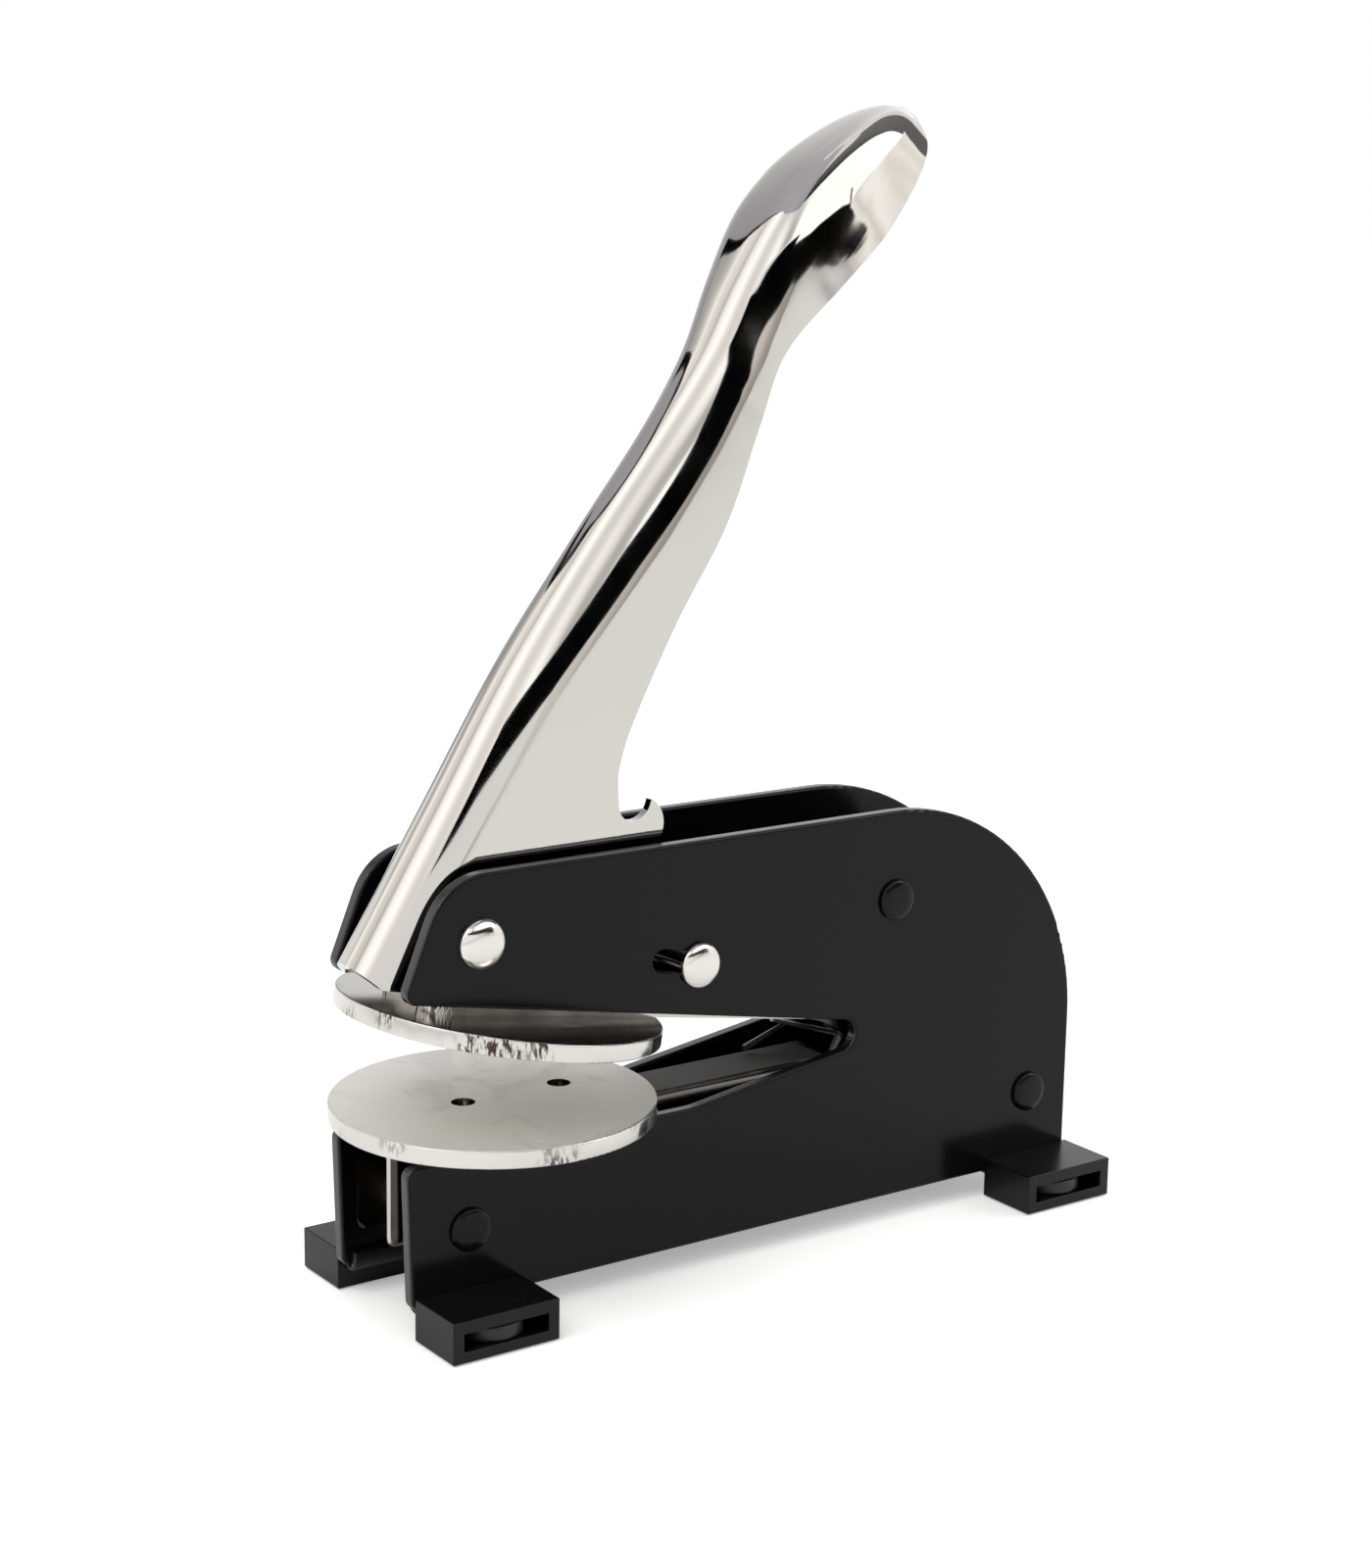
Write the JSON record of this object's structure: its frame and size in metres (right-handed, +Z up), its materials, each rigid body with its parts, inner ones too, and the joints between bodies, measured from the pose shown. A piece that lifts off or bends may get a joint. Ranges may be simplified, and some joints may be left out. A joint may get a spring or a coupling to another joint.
{
  "type": "seal embosser",
  "caption": "Desk seal embosser: a long pressed lever closes a hinged upper die plate on a lower one between two C-shaped side plates on clip-on feet.",
  "frame": {"origin": "centre of the footprint, on the table", "axes": "+X from the user to the back, along the jaws; +Y to the left, across the side plates; +Z up"},
  "size_m": [0.144, 0.054, 0.1934],
  "materials": {
    "black_enamel": "semi-gloss black powder enamel",
    "bright_nickel": "bright nickel plating on pressed steel",
    "satin_nickel": "satin nickel plating on blanked steel",
    "spring_steel": "drawn spring wire",
    "black_plastic": "moulded black ABS, satin",
    "black_rubber": "moulded rubber"
  },
  "bodies": {
    "frame": {"left_side_plate": "black_enamel", "right_side_plate": "black_enamel", "front_tie_rivet": "black_enamel", "back_tie_rivet": "black_enamel", "top_tie_rivet": "black_enamel", "front_tie_tube": "bright_nickel", "back_tie_tube": "bright_nickel", "top_tie_tube": "bright_nickel", "front_ring_left": "black_enamel", "front_ring_right": "black_enamel", "back_ring_left": "black_enamel", "back_ring_right": "black_enamel", "lever_pivot_pin": "bright_nickel", "pivot_washer_left": "bright_nickel", "pivot_washer_right": "bright_nickel", "anvil_channel": "bright_nickel", "lower_die_plate": "satin_nickel", "hinge_pin": "bright_nickel", "arm_spring": "spring_steel", "foot_front_left": "black_plastic", "foot_front_right": "black_plastic", "foot_back_left": "black_plastic", "foot_back_right": "black_plastic", "pad_front_left": "black_rubber", "pad_front_right": "black_rubber", "pad_back_left": "black_rubber", "pad_back_right": "black_rubber"},
    "arm": {"press_arm": "bright_nickel", "upper_die_plate": "satin_nickel"},
    "lever": {"lever": "bright_nickel", "lever_tube": "bright_nickel"},
    "lock": {"lock_pin": "bright_nickel"}
  },
  "joints": [
    {"name": "lever_swing", "type": "hinge", "parent": "frame", "child": "lever", "pos_m": [-0.05476, 0, 0.0637], "axis": [0, 1, 0], "range_deg": [0, 44]},
    {"name": "arm_close", "type": "hinge", "parent": "frame", "child": "arm", "pos_m": [0.03024, 0, 0.0349], "axis": [0, -1, 0], "range_deg": [0, 9.3], "stiffness_Nm_per_rad": 1.5, "springref_deg": -11.46, "deforming": ["arm_spring"]},
    {"name": "lock_slide", "type": "slide", "parent": "frame", "child": "lock", "axis": [-0.9739, 0, 0.227], "range_m": [0, 0.0062]}
  ],
  "couplings": [
    {"joint": "arm_close", "follows": "lever_swing", "ratio": 0.21136}
  ]
}
